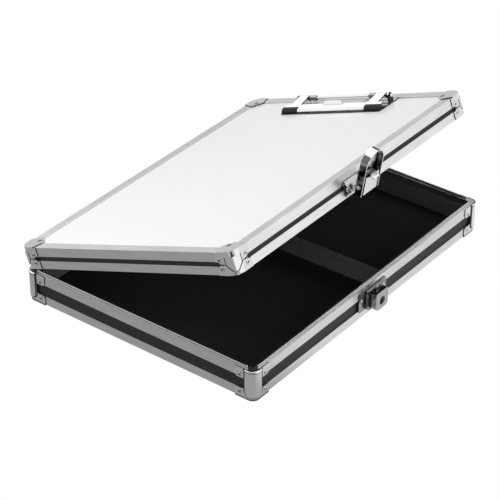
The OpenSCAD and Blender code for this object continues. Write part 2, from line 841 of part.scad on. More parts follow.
// ---- hasp --------------------------------------------------------------------------------

// A flat plate with two ears that carry the hasp's pin
module hasp_plate() {
    color(chrome) on_lid() difference() {
        union() {
            latch_plate(lid_z + 0.7, lid_z + 0.7 + plate_h, 3);
            for (s = [-1, 1])
                translate([0, s * (ear_in + ear_out) / 2, hasp_z]) rotate([90, 0, 0])
                    linear_extrude(ear_out - ear_in, center = true) {
                        translate([half_w, -ear_r]) square([hasp_out, 2 * ear_r]);
                        translate([hasp_x, 0]) circle(ear_r);
                    }
        }
        translate([hasp_x, 0, hasp_z]) rotate([90, 0, 0])
            cylinder(r = hasp_pin_r + fit_gap, h = hasp_w, center = true);
        at_plate_rivets([hasp_rivet_z]) bore(plate_grip);
    }
}

module hasp_pin() {
    head = hasp_w / 2 + move_gap;
    color(chrome) on_lid() translate([hasp_x, 0, hasp_z]) rotate([90, 0, 0]) {
        cylinder(r = hasp_pin_r, h = 2 * head + 0.2, center = true);
        for (s = [-1, 1])
            translate([0, 0, s * (head + 0.4)]) cylinder(r = ear_r, h = 0.8, center = true);
    }
}

// Outline of the hasp seen from its back: x across, y towards the round tip
module hasp_outline(inset, heel) {
    r = hasp_w / 2 - inset;
    tip_y = hasp_reach - hasp_w / 2;
    translate([0, tip_y]) circle(r);
    translate([-r, -heel]) square([2 * r, tip_y + heel]);
}

// A pressed trough that swings on its pin; shut, it covers the lock and its strike
// stands over the bolt's nose. Drawn upright: back at -X, open side at +X.
module hasp() {
    key_u = hasp_z - key_z;
    slot_in = ear_in - move_gap;
    window = [bolt_back - hasp_x, bolt_back + bolt_t - hasp_x];
    back_mid = hasp_t / 2 - hasp_back;
    heel_mid = hasp_t / 2 - hasp_heel;
    color(chrome) on_lid() translate([hasp_x, 0, hasp_z]) rotate([0, hasp_turn, 0])
        difference() {
            union() {
                translate([-hasp_back, 0, 0]) rotate([90, 0, 90]) difference() {
                    linear_extrude(hasp_d) hasp_outline(0, hasp_heel);
                    translate([0, 0, hasp_t]) linear_extrude(hasp_d)
                        hasp_outline(hasp_t, hasp_heel + 1);
                }
                // between the ears the back folds under the pin and up in front of it
                rotate([90, 0, 0]) linear_extrude(2 * slot_in, center = true)
                    bent_sheet([[back_mid, 0], [back_mid, heel_mid], [-back_mid, heel_mid],
                        [-back_mid, strike_r - strike_t - 2]], hasp_t);
                // the strike, bent round the pin
                intersection() {
                    rotate([90, 0, 0]) linear_extrude(strike_w, center = true) difference() {
                        circle(strike_r);
                        circle(strike_r - strike_t);
                    }
                    translate([-hasp_back, -strike_w, 0])
                        cube([hasp_back + strike_ends, 2 * strike_w, 2 * strike_r]);
                }
            }
            // open-ended slots of the ears
            for (s = [-1, 1])
                translate([-hasp_d, s > 0 ? slot_in : -hasp_in, -hasp_heel - 1])
                    cube([hasp_d, hasp_in - slot_in, hasp_heel + 1 + ear_r + 0.9]);
            rotate([90, 0, 0])
                cylinder(r = hasp_pin_r + fit_gap, h = hasp_w + 1, center = true);
            // key window
            translate([-hasp_d, 0, key_u]) rotate([90, 0, 90]) linear_extrude(hasp_d)
                round_rect(5, 9, 2.2);
            // window of the strike for the bolt's nose
            translate([-window[1] - 0.4, -nose_w / 2 - 0.4, 0])
                cube([window[1] - window[0] + 0.8, nose_w + 0.8, 2 * strike_r]);
        }
}

// ---- paper clip --------------------------------------------------------------------------

module at_clip_rivets() {
    for (x = [-1, 0, 1]) translate([x * arm_in * 0.8, rod_y - 9, board_z + clip_t]) children();
}

// A shape drawn round the rod as (length, height), stretched across from x0 to x1
module across(x0, x1) {
    translate([x0, rod_y, rod_z]) rotate([90, 0, 90]) linear_extrude(x1 - x0) children();
}

module clip_base() {
    front = rod_y - 28;
    ring_r = rod_r + 1.6;
    color(chrome) on_lid() difference() {
        union() {
            translate([0, front + clip_d / 2, board_z]) linear_extrude(clip_t)
                round_rect(clip_w, clip_d, 2.5);
            for (s = [-1, 1]) across(s * ear_x - 1, s * ear_x + 1) {
                circle(ring_r);
                translate([-ring_r, -rod_up]) square([2 * ring_r, rod_up]);
            }
        }
        across(-clip_w, clip_w) circle(rod_r + fit_gap);
        at_clip_rivets() bore(clip_t + board_t);
    }
}

module clip_rod() {
    color(chrome) on_lid() across(-ear_x - 2.5, ear_x + 2.5) circle(rod_r);
}

// The spring-loaded jaw: a bent front plate on two arms, with a finger tab in the middle
module clip_jaw() {
    rear = jaw_line[1] + 0.12 * (jaw_line[0] - jaw_line[1]);
    front = [rear, jaw_line[1], jaw_line[2], jaw_line[3]];
    bend_y = jaw_line[1][0];
    tab_end = jaw_line[1] + tab_rise;
    tab_top = 0.28 * tab_w;
    color(chrome) on_lid() difference() {
        union() {
            across(-jaw_half, jaw_half) bent_sheet(front, clip_t);
            for (s = [-1, 1])
                across(s > 0 ? arm_in : -arm_out, s > 0 ? arm_out : -arm_in) {
                    bent_sheet([jaw_line[0], jaw_line[1]], clip_t);
                    circle(knuckle_clip_r);
                }
            intersection() {
                across(-tab_w, tab_w) bent_sheet([jaw_line[1], tab_end], clip_t);
                translate([0, rod_y, rod_z - 5]) linear_extrude(15)
                    polygon([[-tab_w / 2, bend_y - 1], [-tab_top, tab_end[0] + 1],
                        [tab_top, tab_end[0] + 1], [tab_w / 2, bend_y - 1]]);
            }
        }
        across(-clip_w, clip_w) circle(rod_r + fit_gap);
    }
}

// Rubber ends that wrap the jaw's lip
module clip_grips() {
    color(black) on_lid() difference() {
        for (s = [-1, 1])
            across(s > 0 ? grip_in : -jaw_half - 0.8, s > 0 ? jaw_half + 0.8 : -grip_in)
                bent_sheet([jaw_line[1] - [2.5, 0.7], jaw_line[2], jaw_line[3]], clip_t + 1.2);
        across(-jaw_half, jaw_half) bent_sheet([jaw_line[1], jaw_line[2], jaw_line[3]], clip_t);
        // flat underneath, just over the base
        across(-clip_w, clip_w) translate([-2 * clip_d, -2 * rod_up])
            square([2 * clip_d, rod_up + clip_t + move_gap]);
    }
}

// Torsion springs: coils round the rod, one leg down to the base, one under the front plate
module clip_springs() {
    wire_r = 0.6;
    coil_r = rod_r + 0.3 + wire_r;
    pitch = 1.15;
    turns = 7;
    // the front leg ends short of the jaw plate
    leg_l = -jaw_line[1][0] - 4;
    coil_l = (turns - 1) * pitch;
    color(chrome) on_lid() for (s = [0, 1]) mirror([s, 0, 0])
        translate([arm_in - 2 - coil_l, rod_y, rod_z]) {
            rotate([0, 90, 0]) rotate_extrude() {
                for (i = [0 : turns - 1]) translate([coil_r, i * pitch]) circle(wire_r);
                translate([coil_r - wire_r / 2, 0]) square([wire_r, coil_l]);
            }
            translate([coil_l, coil_r, clip_t - rod_up])
                cylinder(r = wire_r - 0.1, h = rod_up - clip_t);
            translate([0, 0, -coil_r]) rotate([86, 0, 0])
                cylinder(r = wire_r - 0.1, h = leg_l);
        }
}

module clip_rivets() {
    color(chrome) on_lid() at_clip_rivets() rivet(clip_t + board_t);
}

// ---- the part ----------------------------------------------------------------------------

floor_panel();
base_wall("hinge");  // wall_hinge
base_wall("lock");  // wall_lock
base_wall("near");  // wall_near
base_wall("far");  // wall_far
foot_trim("hinge");  // foot_trim_hinge
foot_trim("lock");  // foot_trim_lock
foot_trim("near");  // foot_trim_near
foot_trim("far");  // foot_trim_far
base_rim("hinge");  // rim_hinge
base_rim("lock");  // rim_lock
base_rim("near");  // rim_near
base_rim("far");  // rim_far
base_cap(-1, -1);  // base_cap_hinge_near
base_cap(-1, 1);  // base_cap_hinge_far
base_cap(1, -1);  // base_cap_lock_near
base_cap(1, 1);  // base_cap_lock_far
base_rivets();
floor_lining();
wall_lining();
elastic_strap();
strap_rivets();
base_leaf();
hinge_pin();
lock_plate();
lock_body();
lock_cylinder();
lock_bolt();
writing_board();
lid_wall("hinge");  // lid_wall_hinge
lid_wall("lock");  // lid_wall_lock
lid_wall("near");  // lid_wall_near
lid_wall("far");  // lid_wall_far
top_trim("hinge");  // top_trim_hinge
top_trim("lock");  // top_trim_lock
top_trim("near");  // top_trim_near
top_trim("far");  // top_trim_far
lid_rim("hinge");  // lid_rim_hinge
lid_rim("lock");  // lid_rim_lock
lid_rim("near");  // lid_rim_near
lid_rim("far");  // lid_rim_far
lid_cap(-1, -1);  // lid_cap_hinge_near
lid_cap(-1, 1);  // lid_cap_hinge_far
lid_cap(1, -1);  // lid_cap_lock_near
lid_cap(1, 1);  // lid_cap_lock_far
lid_rivets();
lid_lining();
lid_leaf();
hasp_plate();
hasp_pin();
hasp();
clip_base();
clip_rod();
clip_jaw();
clip_grips();
clip_springs();
clip_rivets();
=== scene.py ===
import math

import bmesh
import bpy
from mathutils import Matrix, Vector


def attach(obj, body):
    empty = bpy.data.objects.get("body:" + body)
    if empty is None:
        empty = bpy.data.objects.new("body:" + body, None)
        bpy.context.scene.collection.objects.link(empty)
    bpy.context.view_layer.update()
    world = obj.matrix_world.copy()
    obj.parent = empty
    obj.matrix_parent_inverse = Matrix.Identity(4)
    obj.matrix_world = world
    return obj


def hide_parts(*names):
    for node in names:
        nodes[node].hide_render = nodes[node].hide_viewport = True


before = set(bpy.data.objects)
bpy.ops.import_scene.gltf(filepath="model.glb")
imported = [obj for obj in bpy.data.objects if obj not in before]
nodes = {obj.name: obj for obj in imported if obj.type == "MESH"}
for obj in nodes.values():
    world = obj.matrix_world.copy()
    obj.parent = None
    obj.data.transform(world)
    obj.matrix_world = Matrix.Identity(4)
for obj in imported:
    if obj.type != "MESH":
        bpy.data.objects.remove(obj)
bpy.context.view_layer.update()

scene = bpy.context.scene

# ---- Camera --------------------------------------------------------------------------------
# A long lens from the lock side, looking over the near corner down on to the writing board.
lens_mm = 148.55
eye = Vector((1.0362, -1.3578, 1.1274))
look_yaw, look_pitch = math.radians(37.61), math.radians(33.09)
ahead = Vector((-math.sin(look_yaw) * math.cos(look_pitch),
                math.cos(look_yaw) * math.cos(look_pitch), -math.sin(look_pitch)))
camera_data = bpy.data.cameras.new("camera")
camera_data.sensor_width = 36
camera_data.lens = lens_mm
camera_data.clip_start, camera_data.clip_end = 0.05, 50
camera = bpy.data.objects.new("camera", camera_data)
camera.location = eye
camera.rotation_mode = "QUATERNION"
camera.rotation_quaternion = ahead.to_track_quat("-Z", "Y")
scene.collection.objects.link(camera)
scene.camera = camera

# ---- Studio: floor and light ---------------------------------------------------------------
# A white sweep, nearly without shadow. What the metal mirrors is set apart from what lights the
# piece: a floor that is dim in front of the near end and bright beside the lock, bright cards
# behind the lock side, over the hinge side and on the ceiling, a dim one behind the hinge side
# and a dark room between.
floor_half = 6.0
floor_mesh = bpy.data.meshes.new("studio_floor")
floor_mesh.from_pydata([(-floor_half, -floor_half, 0), (floor_half, -floor_half, 0),
                        (floor_half, floor_half, 0), (-floor_half, floor_half, 0)],
                       [], [(0, 1, 2, 3)])
floor = bpy.data.objects.new("studio_floor", floor_mesh)
scene.collection.objects.link(floor)


def card(tree, vector, facing, start, full, strength):
    """How bright a card is seen along a direction: none at the first cosine, all at the next."""
    along = tree.nodes.new("ShaderNodeVectorMath")
    along.operation = "DOT_PRODUCT"
    along.inputs[1].default_value = facing
    span = tree.nodes.new("ShaderNodeMapRange")
    span.interpolation_type = "SMOOTHSTEP"
    span.inputs["From Min"].default_value = start
    span.inputs["From Max"].default_value = full
    span.inputs["To Min"].default_value = strength[0]
    span.inputs["To Max"].default_value = strength[1]
    tree.links.new(vector, along.inputs[0])
    tree.links.new(along.outputs["Value"], span.inputs["Value"])
    return span.outputs["Result"]


def added(tree, first, second):
    total = tree.nodes.new("ShaderNodeMath")
    total.operation = "ADD"
    tree.links.new(first, total.inputs[0])
    tree.links.new(second, total.inputs[1])
    return total.outputs[0]


sweep = bpy.data.materials.new("white_sweep")
sweep.use_nodes = True
tree = sweep.node_tree
tree.nodes.clear()
out = tree.nodes.new("ShaderNodeOutputMaterial")
lit = tree.nodes.new("ShaderNodeBsdfDiffuse")
lit.inputs["Color"].default_value = (0.93, 0.93, 0.93, 1)
glow = tree.nodes.new("ShaderNodeEmission")
glow.inputs["Strength"].default_value = 1.0
seen = tree.nodes.new("ShaderNodeMixShader")
mirrored = tree.nodes.new("ShaderNodeEmission")
place = tree.nodes.new("ShaderNodeNewGeometry")
path = tree.nodes.new("ShaderNodeLightPath")
choose = tree.nodes.new("ShaderNodeMixShader")
tree.links.new(card(tree, place.outputs["Position"], (1, 1, 0), -0.05, 0.08, (0.36, 0.80)),
               mirrored.inputs["Strength"])
tree.links.new(path.outputs["Is Camera Ray"], seen.inputs[0])
tree.links.new(lit.outputs[0], seen.inputs[1])
tree.links.new(glow.outputs[0], seen.inputs[2])
tree.links.new(path.outputs["Is Glossy Ray"], choose.inputs[0])
tree.links.new(seen.outputs[0], choose.inputs[1])
tree.links.new(mirrored.outputs[0], choose.inputs[2])
tree.links.new(choose.outputs[0], out.inputs["Surface"])
floor_mesh.materials.append(sweep)

world = bpy.data.worlds.new("studio_air")
world.use_nodes = True
tree = world.node_tree
air = tree.nodes["Background"]
air.inputs["Color"].default_value = (1, 1, 1, 1)
way = tree.nodes.new("ShaderNodeTexCoord").outputs["Generated"]
behind_lock, behind_hinge = (0.745, 0.664, 0.0), (-0.744, 0.664, 0.08)
over_hinge, ceiling = (-0.93, -0.15, 0.34), (0, 0, 1)
room = added(tree, card(tree, way, behind_lock, 0.45, 0.85, (0.0, 1.0)),
             card(tree, way, behind_hinge, 0.90, 0.985, (0.0, 0.46)))
room = added(tree, room, card(tree, way, over_hinge, 0.66, 0.76, (0.0, 0.88)))
room = added(tree, room, card(tree, way, ceiling, 0.80, 0.97, (0.15, 0.95)))
path = tree.nodes.new("ShaderNodeLightPath")
level = tree.nodes.new("ShaderNodeMix")
level.data_type = "FLOAT"
level.inputs[2].default_value = 0.45
tree.links.new(path.outputs["Is Glossy Ray"], level.inputs[0])
tree.links.new(room, level.inputs[3])
tree.links.new(level.outputs[0], air.inputs["Strength"])
scene.world = world


def softbox(name, place, aim, width, height, power, mirrored=True):
    data = bpy.data.lights.new(name, "AREA")
    data.shape = "RECTANGLE"
    data.size, data.size_y = width, height
    data.energy = power
    lamp = bpy.data.objects.new(name, data)
    lamp.location = place
    lamp.rotation_mode = "QUATERNION"
    lamp.rotation_quaternion = (Vector(aim) - Vector(place)).to_track_quat("-Z", "Y")
    lamp.visible_glossy = mirrored
    scene.collection.objects.link(lamp)


softbox("top_light", (-0.6, 0.5, 2.2), (0, 0, 0), 2.4, 2.4, 24)
softbox("side_light", (2.2, 0.6, 1.0), (0, 0, 0.05), 1.4, 1.0, 12)
softbox("front_light", (-0.5, -2.4, 1.2), (0, 0, 0.05), 1.6, 0.8, 10, mirrored=False)
softbox("board_light", (-0.5, -0.6, 0.6), (-0.05, -0.1, 0.08), 0.3, 0.3, 3.2,
        mirrored=False)
scene.view_settings.view_transform = "Standard"

# ---- Panels of the box and the lid ---------------------------------------------------------
# Fibreboard faced with black laminate that has a fine pebbled skin. The panels slip into the
# rims' channels and show only as a dark band between the trims.


def finish(name, color, metallic, roughness):
    """A new finish; gives the material, its tree and its shader."""
    made = bpy.data.materials.new(name)
    made.use_nodes = True
    shader = made.node_tree.nodes["Principled BSDF"]
    shader.inputs["Base Color"].default_value = (*color, 1)
    shader.inputs["Metallic"].default_value = metallic
    shader.inputs["Roughness"].default_value = roughness
    return made, made.node_tree, shader


def grain(tree, scale, stretch=(1, 1, 1), turn=0.0, detail=3.0):
    """Noise on the piece's own coordinates, stretched along its axes; turn tilts about Y."""
    coords = tree.nodes.new("ShaderNodeTexCoord")
    mapping = tree.nodes.new("ShaderNodeMapping")
    mapping.vector_type = "POINT"
    mapping.inputs["Rotation"].default_value = (0, turn, 0)
    scaled = tree.nodes.new("ShaderNodeVectorMath")
    scaled.operation = "MULTIPLY"
    scaled.inputs[1].default_value = stretch
    noise = tree.nodes.new("ShaderNodeTexNoise")
    noise.inputs["Scale"].default_value = scale
    noise.inputs["Detail"].default_value = detail
    tree.links.new(coords.outputs["Object"], mapping.inputs["Vector"])
    tree.links.new(mapping.outputs["Vector"], scaled.inputs[0])
    tree.links.new(scaled.outputs[0], noise.inputs["Vector"])
    return noise.outputs["Fac"]


def spread(tree, value, low, high, target, lo_in=0.3, hi_in=0.7):
    """Maps a grain to a range and feeds it to a socket."""
    span = tree.nodes.new("ShaderNodeMapRange")
    span.inputs["From Min"].default_value = lo_in
    span.inputs["From Max"].default_value = hi_in
    span.inputs["To Min"].default_value = low
    span.inputs["To Max"].default_value = high
    tree.links.new(value, span.inputs["Value"])
    tree.links.new(span.outputs["Result"], target)


def tint(tree, value, dark, light, shader, lo_in=0.3, hi_in=0.7):
    """Blends two shades by a grain into the base colour."""
    ramp = tree.nodes.new("ShaderNodeValToRGB")
    ramp.color_ramp.elements[0].position = lo_in
    ramp.color_ramp.elements[0].color = (*dark, 1)
    ramp.color_ramp.elements[1].position = hi_in
    ramp.color_ramp.elements[1].color = (*light, 1)
    tree.links.new(value, ramp.inputs["Fac"])
    tree.links.new(ramp.outputs["Color"], shader.inputs["Base Color"])


def relief(tree, value, height, strength, shader):
    """A bump of the given height in metres."""
    bump = tree.nodes.new("ShaderNodeBump")
    bump.inputs["Distance"].default_value = height
    bump.inputs["Strength"].default_value = strength
    tree.links.new(value, bump.inputs["Height"])
    tree.links.new(bump.outputs["Normal"], shader.inputs["Normal"])


def painted_crevice_shade(tree, shader, reach, depth, shut=0.45, clear=0.92):
    """Painted shade: darkens the colour where another surface is closer than the reach, in metres.
    """
    near_by = tree.nodes.new("ShaderNodeAmbientOcclusion")
    near_by.samples = 6
    near_by.inputs["Distance"].default_value = reach
    shade = tree.nodes.new("ShaderNodeMapRange")
    shade.inputs["From Min"].default_value = shut
    shade.inputs["From Max"].default_value = clear
    shade.inputs["To Min"].default_value = depth
    shade.inputs["To Max"].default_value = 1.0
    mix = tree.nodes.new("ShaderNodeMix")
    mix.data_type = "RGBA"
    mix.blend_type = "MULTIPLY"
    mix.inputs["Factor"].default_value = 1.0
    color = shader.inputs["Base Color"]
    if color.links:
        tree.links.new(color.links[0].from_socket, mix.inputs[6])
    else:
        mix.inputs[6].default_value = color.default_value
    tree.links.new(near_by.outputs["AO"], shade.inputs["Value"])
    tree.links.new(shade.outputs["Result"], mix.inputs[7])
    tree.links.new(mix.outputs[2], color)


def dress(material, *names):
    """Gives CAD pieces their finish."""
    for name in names:
        piece = nodes[name]
        if piece.material_slots:
            for slot in piece.material_slots:
                slot.material = material
        else:
            piece.data.materials.append(material)


sides = ("hinge", "lock", "near", "far")
laminate, tree, shader = finish("pebbled_black_laminate", (0.012, 0.012, 0.013), 0, 0.42)
pebbles = grain(tree, 900, detail=2)
tint(tree, pebbles, (0.006, 0.006, 0.007), (0.022, 0.022, 0.023), shader)
spread(tree, pebbles, 0.34, 0.55, shader.inputs["Roughness"])
relief(tree, pebbles, 0.0002, 0.5, shader)
shader.inputs["Specular IOR Level"].default_value = 0.3
dress(laminate, "floor_panel", *[f"wall_{side}" for side in sides],
      *[f"lid_wall_{side}" for side in sides])

# ---- Aluminium trims -----------------------------------------------------------------------
# Satin anodised extrusions, sawn at 45 degrees and riveted under the caps. The die leaves
# faint lines along their length.


def extrusion(name, along, turn=0.0):
    """Satin aluminium with die lines along one axis."""
    made, tree, shader = finish(name, (0.78, 0.785, 0.79), 1, 0.3)
    stretch = (0.02, 1, 1) if along == "x" else (1, 0.02, 1)
    lines = grain(tree, 1500, stretch, turn, detail=2)
    cloud = grain(tree, 22, detail=2)
    tint(tree, lines, (0.70, 0.705, 0.71), (0.86, 0.865, 0.87), shader)
    spread(tree, cloud, 0.26, 0.36, shader.inputs["Roughness"])
    relief(tree, lines, 0.0001, 0.8, shader)
    # Painted shade in the seams, where another surface comes near.
    painted_crevice_shade(tree, shader, 0.0012, 0.25)
    return made


lid_tilt = math.radians(20.5)
trim_y = extrusion("satin_aluminium_long", "y")
trim_x = extrusion("satin_aluminium_short", "x")
lid_trim_x = extrusion("satin_aluminium_lid_short", "x", lid_tilt)
for side in sides:
    long_side = side in ("hinge", "lock")
    dress(trim_y if long_side else trim_x, f"foot_trim_{side}", f"rim_{side}")
    dress(trim_y if long_side else lid_trim_x, f"top_trim_{side}", f"lid_rim_{side}")

# ---- Corner caps ---------------------------------------------------------------------------
# Pressed steel, bright plated: a round corner with a raised column and a rolled bead on the
# base, a two-facet column on the lid.
plate, tree, shader = finish("bright_plate", (0.86, 0.865, 0.87), 1, 0.12)
smear = grain(tree, 60, detail=4)
spread(tree, smear, 0.08, 0.2, shader.inputs["Roughness"])
tint(tree, grain(tree, 14, detail=2), (0.80, 0.805, 0.81), (0.90, 0.905, 0.91), shader)
# Painted shade, close to black, in the caps' notches, grooves and seams.
painted_crevice_shade(tree, shader, 0.0035, 0.02, 0.55, 0.97)
corners = ("hinge_near", "hinge_far", "lock_near", "lock_far")
dress(plate, *[f"base_cap_{c}" for c in corners], *[f"lid_cap_{c}" for c in corners])


def reckon(tree, operation, first, second=0.0):
    """One step of arithmetic on a grey value; either side may be a number."""
    step = tree.nodes.new("ShaderNodeMath")
    step.operation = operation
    for slot, value in zip(step.inputs, (first, second)):
        if isinstance(value, (int, float)):
            slot.default_value = value
        else:
            tree.links.new(value, slot)
    return step.outputs[0]


# A dark line of painted shade runs round the column's foot. It is found from the distances to the
# case's two sides and to its foot, all in millimetres.
mm = 0.001
diagonal = 0.7071
half_w, half_l, corner_r, cap_t = 136.5, 184.0, 6.0, 0.8
column_reach, column_foot, column_round, line_w = 11.0, 4.0, 5.0, 1.1
shade_line_tone = 0.12
shade_lined_plate = plate.copy()
shade_lined_plate.name = "bright_plate_creased"
tree = shade_lined_plate.node_tree
shader = tree.nodes["Principled BSDF"]
axes = tree.nodes.new("ShaderNodeSeparateXYZ")
tree.links.new(tree.nodes.new("ShaderNodeTexCoord").outputs["Object"], axes.inputs[0])
from_side = reckon(tree, "SUBTRACT", half_w * mm, reckon(tree, "ABSOLUTE", axes.outputs[0]))
from_end = reckon(tree, "SUBTRACT", half_l * mm, reckon(tree, "ABSOLUTE", axes.outputs[1]))
aside = reckon(tree, "ABSOLUTE", reckon(tree, "SUBTRACT", from_side, from_end))
aside = reckon(tree, "SUBTRACT", reckon(tree, "MULTIPLY", aside, diagonal),
               (column_reach * diagonal - column_round) * mm)
below = reckon(tree, "SUBTRACT", (column_foot + column_round) * mm, axes.outputs[2])
aside = reckon(tree, "MAXIMUM", aside, 0.0)
below = reckon(tree, "MAXIMUM", below, 0.0)
squares = reckon(tree, "ADD", reckon(tree, "MULTIPLY", aside, aside),
                 reckon(tree, "MULTIPLY", below, below))
off_line = reckon(tree, "ABSOLUTE", reckon(tree, "SUBTRACT", reckon(tree, "SQRT", squares),
                                           (column_round + line_w / 2) * mm))
fade = tree.nodes.new("ShaderNodeMapRange")
fade.inputs["From Min"].default_value = line_w / 4 * mm
fade.inputs["From Max"].default_value = line_w / 2 * mm
fade.inputs["To Min"].default_value = shade_line_tone
fade.inputs["To Max"].default_value = 1.0
tree.links.new(off_line, fade.inputs["Value"])
shade_line = tree.nodes.new("ShaderNodeMix")
shade_line.data_type = "RGBA"
shade_line.blend_type = "MULTIPLY"
shade_line.inputs["Factor"].default_value = 1.0
tree.links.new(shader.inputs["Base Color"].links[0].from_socket, shade_line.inputs[6])
tree.links.new(fade.outputs["Result"], shade_line.inputs[7])
tree.links.new(shade_line.outputs[2], shader.inputs["Base Color"])
# The base caps get the plate with the painted shade line.
dress(shade_lined_plate, *[f"base_cap_{c}" for c in corners])
# A dark finish that stands in for shade: painted shade on the caps' steps, the sheet edges of the
# clip and the key cylinder.
scale, tree, shader = finish("dark_painted_shade_finish", (0.05, 0.05, 0.05), 1, 0.4)
tint(tree, grain(tree, 500, detail=2), (0.02, 0.02, 0.02), (0.09, 0.09, 0.09), shader)
# The narrow steps at the column's two edges are in shade; they get the dark finish as painted
# shade.
column_low, column_high = 1.5, 30.2
least_proud, facing_across = 0.05, 0.1
for corner in corners:
    cap = nodes[f"base_cap_{corner}"].data
    cap.materials.append(scale)
    across = Vector((-1 if "hinge" in corner else 1, -1 if "near" in corner else 1, 0))
    across *= diagonal
    for face in cap.polygons:
        at = face.center / mm
        out_x = max(abs(at.x) - half_w + corner_r, 0)
        out_y = max(abs(at.y) - half_l + corner_r, 0)
        proud = math.hypot(out_x, out_y) - corner_r - cap_t
        on_edge = proud > least_proud and column_low < at.z < column_high
        if on_edge and abs(face.normal @ across) < facing_across:
            face.material_index = 1

# ---- Rivets --------------------------------------------------------------------------------
# Pop rivets with a domed flange and the broken-off end of the mandrel sunk in the middle. They
# go through cap, trim and panel; their places repeat those of the bores, in millimetres.
lid_top = 55.3
sheet_t = 1.2
hinge_line = Vector((-139.0, 0, 33.15))
to_lid = (Matrix.Translation(hinge_line) @ Matrix.Rotation(-lid_tilt, 4, "Y")
          @ Matrix.Translation(-hinge_line))

profile = [(0, 0.10), (0.42, 0.06), (0.52, -0.15), (0.70, -0.55), (0.88, -0.30), (0.92, 0.50),
           (1.04, 0.66), (1.20, 0.70), (1.50, 0.62), (1.80, 0.42), (1.97, 0.16), (2.00, 0.02),
           (1.90, 0), (1.20, 0), (1.20, -1.2), (0, -1.2)]
facets = 24
hollow_rings = 6
shape = bmesh.new()
rings = []
for radius, height in profile:
    if radius == 0:
        rings.append([shape.verts.new((0, 0, height * mm))])
    else:
        rings.append([shape.verts.new((radius * mm * math.cos(2 * math.pi * k / facets),
                                       radius * mm * math.sin(2 * math.pi * k / facets),
                                       height * mm)) for k in range(facets)])
for inner, outer in zip(rings, rings[1:]):
    for k in range(facets):
        k2 = (k + 1) % facets
        ring = [inner[k % len(inner)], outer[k % len(outer)], outer[k2 % len(outer)],
                inner[k2 % len(inner)]]
        corners_of_face = list(dict.fromkeys(ring))
        if len(corners_of_face) > 2:
            shape.faces.new(corners_of_face)
bmesh.ops.recalc_face_normals(shape, faces=shape.faces)
for face in shape.faces:
    face.smooth = True
rivet_mesh = bpy.data.meshes.new("one_rivet")
shape.to_mesh(rivet_mesh)
shape.free()
hollow = rivet_mesh.attributes.new("hollow", "FLOAT", "POINT")
for k in range(1 + (hollow_rings - 1) * facets):
    hollow.data[k].value = 1.0
one_rivet = bpy.data.objects.new("one_rivet", rivet_mesh)

rivet_steel, tree, shader = finish("rivet_steel", (0.74, 0.745, 0.75), 1, 0.24)
spread(tree, grain(tree, 300, detail=2), 0.18, 0.34, shader.inputs["Roughness"])
# The sunk mandrel end is painted near black: painted shade in the hollow.
hollow_painted_shade = tree.nodes.new("ShaderNodeAttribute")
hollow_painted_shade.attribute_name = "hollow"
tint(tree, hollow_painted_shade.outputs["Fac"], (0.74, 0.745, 0.75), (0.03, 0.03, 0.03), shader, 0.2, 0.8)


def new_tree(name, inputs):
    """An empty Geometry Nodes tree with named inputs; gives the tree and its two ends."""
    made = bpy.data.node_groups.new(name, "GeometryNodeTree")
    made.interface.new_socket("Geometry", in_out="OUTPUT", socket_type="NodeSocketGeometry")
    made.interface.new_socket("Geometry", in_out="INPUT", socket_type="NodeSocketGeometry")
    for label, kind in inputs:
        made.interface.new_socket(label, in_out="INPUT", socket_type=kind)
    return made, made.nodes.new("NodeGroupInput"), made.nodes.new("NodeGroupOutput")


def grow(name, seed_mesh, made_tree, values):
    """Runs a tree on a mesh with its inputs set and gives the plain mesh that comes out."""
    holder = bpy.data.objects.new(name + "_seed", seed_mesh)
    scene.collection.objects.link(holder)
    modifier = holder.modifiers.new("grow", "NODES")
    modifier.node_group = made_tree
    for item in made_tree.interface.items_tree:
        if item.item_type == "SOCKET" and item.in_out == "INPUT" and item.name in values:
            modifier[item.identifier] = values[item.name]
    bpy.context.view_layer.update()
    graph = bpy.context.evaluated_depsgraph_get()
    mesh = bpy.data.meshes.new_from_object(holder.evaluated_get(graph), depsgraph=graph)
    holder.modifiers.remove(modifier)
    bpy.data.objects.remove(holder)
    piece = bpy.data.objects.new(name, mesh)
    scene.collection.objects.link(piece)
    return piece


rivet_tree, start, end = new_tree("rivets_on_points", [
    ("Rivet", "NodeSocketObject"), ("Size", "NodeSocketFloat"), ("Turn seed", "NodeSocketInt"),
    ("Finish", "NodeSocketMaterial")])
source = rivet_tree.nodes.new("GeometryNodeObjectInfo")
outward = rivet_tree.nodes.new("GeometryNodeInputNamedAttribute")
outward.data_type = "FLOAT_VECTOR"
outward.inputs["Name"].default_value = "outward"
aim = rivet_tree.nodes.new("FunctionNodeAlignRotationToVector")
aim.axis = "Z"
setting = rivet_tree.nodes.new("GeometryNodeInstanceOnPoints")
turning = rivet_tree.nodes.new("GeometryNodeRotateInstances")
turns = rivet_tree.nodes.new("FunctionNodeRandomValue")
turns.data_type = "FLOAT_VECTOR"
turns.inputs[0].default_value = (0, 0, 0)
turns.inputs[1].default_value = (0, 0, 6.283)
solid = rivet_tree.nodes.new("GeometryNodeRealizeInstances")
coat = rivet_tree.nodes.new("GeometryNodeSetMaterial")
links = rivet_tree.links
links.new(start.outputs["Geometry"], setting.inputs["Points"])
links.new(start.outputs["Rivet"], source.inputs["Object"])
links.new(source.outputs["Geometry"], setting.inputs["Instance"])
links.new(outward.outputs["Attribute"], aim.inputs["Vector"])
links.new(aim.outputs["Rotation"], setting.inputs["Rotation"])
links.new(start.outputs["Size"], setting.inputs["Scale"])
links.new(setting.outputs["Instances"], turning.inputs["Instances"])
links.new(start.outputs["Turn seed"], turns.inputs["Seed"])
links.new(turns.outputs[0], turning.inputs["Rotation"])
links.new(turning.outputs["Instances"], solid.inputs["Geometry"])
links.new(solid.outputs["Geometry"], coat.inputs["Geometry"])
links.new(start.outputs["Finish"], coat.inputs["Material"])
links.new(coat.outputs["Geometry"], end.inputs["Geometry"])


